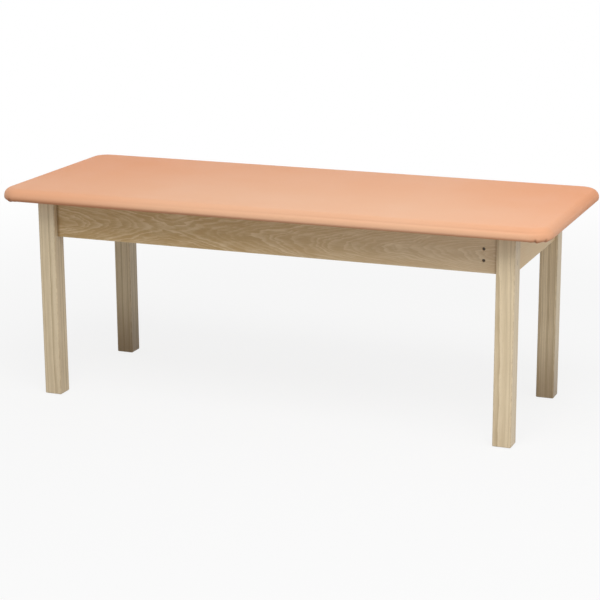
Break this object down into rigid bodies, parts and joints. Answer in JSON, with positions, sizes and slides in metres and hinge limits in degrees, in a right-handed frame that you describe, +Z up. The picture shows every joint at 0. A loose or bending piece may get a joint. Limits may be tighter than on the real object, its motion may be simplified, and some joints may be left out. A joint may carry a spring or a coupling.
{
  "type": "treatment table",
  "caption": "Fixed-height treatment table: a thin padded vinyl top with round corners and a half-round edge on a bolted wooden frame of square legs and plain aprons.",
  "frame": {"origin": "on the floor under the middle of the table", "axes": "+X along the table's length to its right end, +Y to the rear side, +Z up"},
  "size_m": [1.8, 0.7, 0.69],
  "materials": {
    "vinyl": "salmon upholstery vinyl, fine leather grain, low sheen",
    "foam": "open-cell upholstery foam",
    "plywood": "unfinished plywood",
    "frame_wood": "pale straw hardwood, satin clear lacquer",
    "zinc_steel": "zinc-plated",
    "dark_steel": "dark oxide",
    "glide_plastic": "brown moulded plastic"
  },
  "bodies": {
    "root": {"vinyl_cover": "vinyl", "foam_slab": "foam", "deck_board": "plywood", "cover_staples": "zinc_steel", "leg_front_left": "frame_wood", "leg_front_right": "frame_wood", "leg_rear_left": "frame_wood", "leg_rear_right": "frame_wood", "front_apron": "frame_wood", "rear_apron": "frame_wood", "left_end_apron": "frame_wood", "right_end_apron": "frame_wood", "left_cross_bearer": "frame_wood", "centre_cross_bearer": "frame_wood", "right_cross_bearer": "frame_wood", "connector_bolts": "zinc_steel", "bolt_washers": "zinc_steel", "barrel_nuts": "dark_steel", "bolt_plugs": "frame_wood", "deck_brackets": "zinc_steel", "bracket_screws": "zinc_steel", "glide_front_left": "glide_plastic", "glide_front_right": "glide_plastic", "glide_rear_left": "glide_plastic", "glide_rear_right": "glide_plastic", "glide_nails": "zinc_steel"}
  },
  "joints": []
}
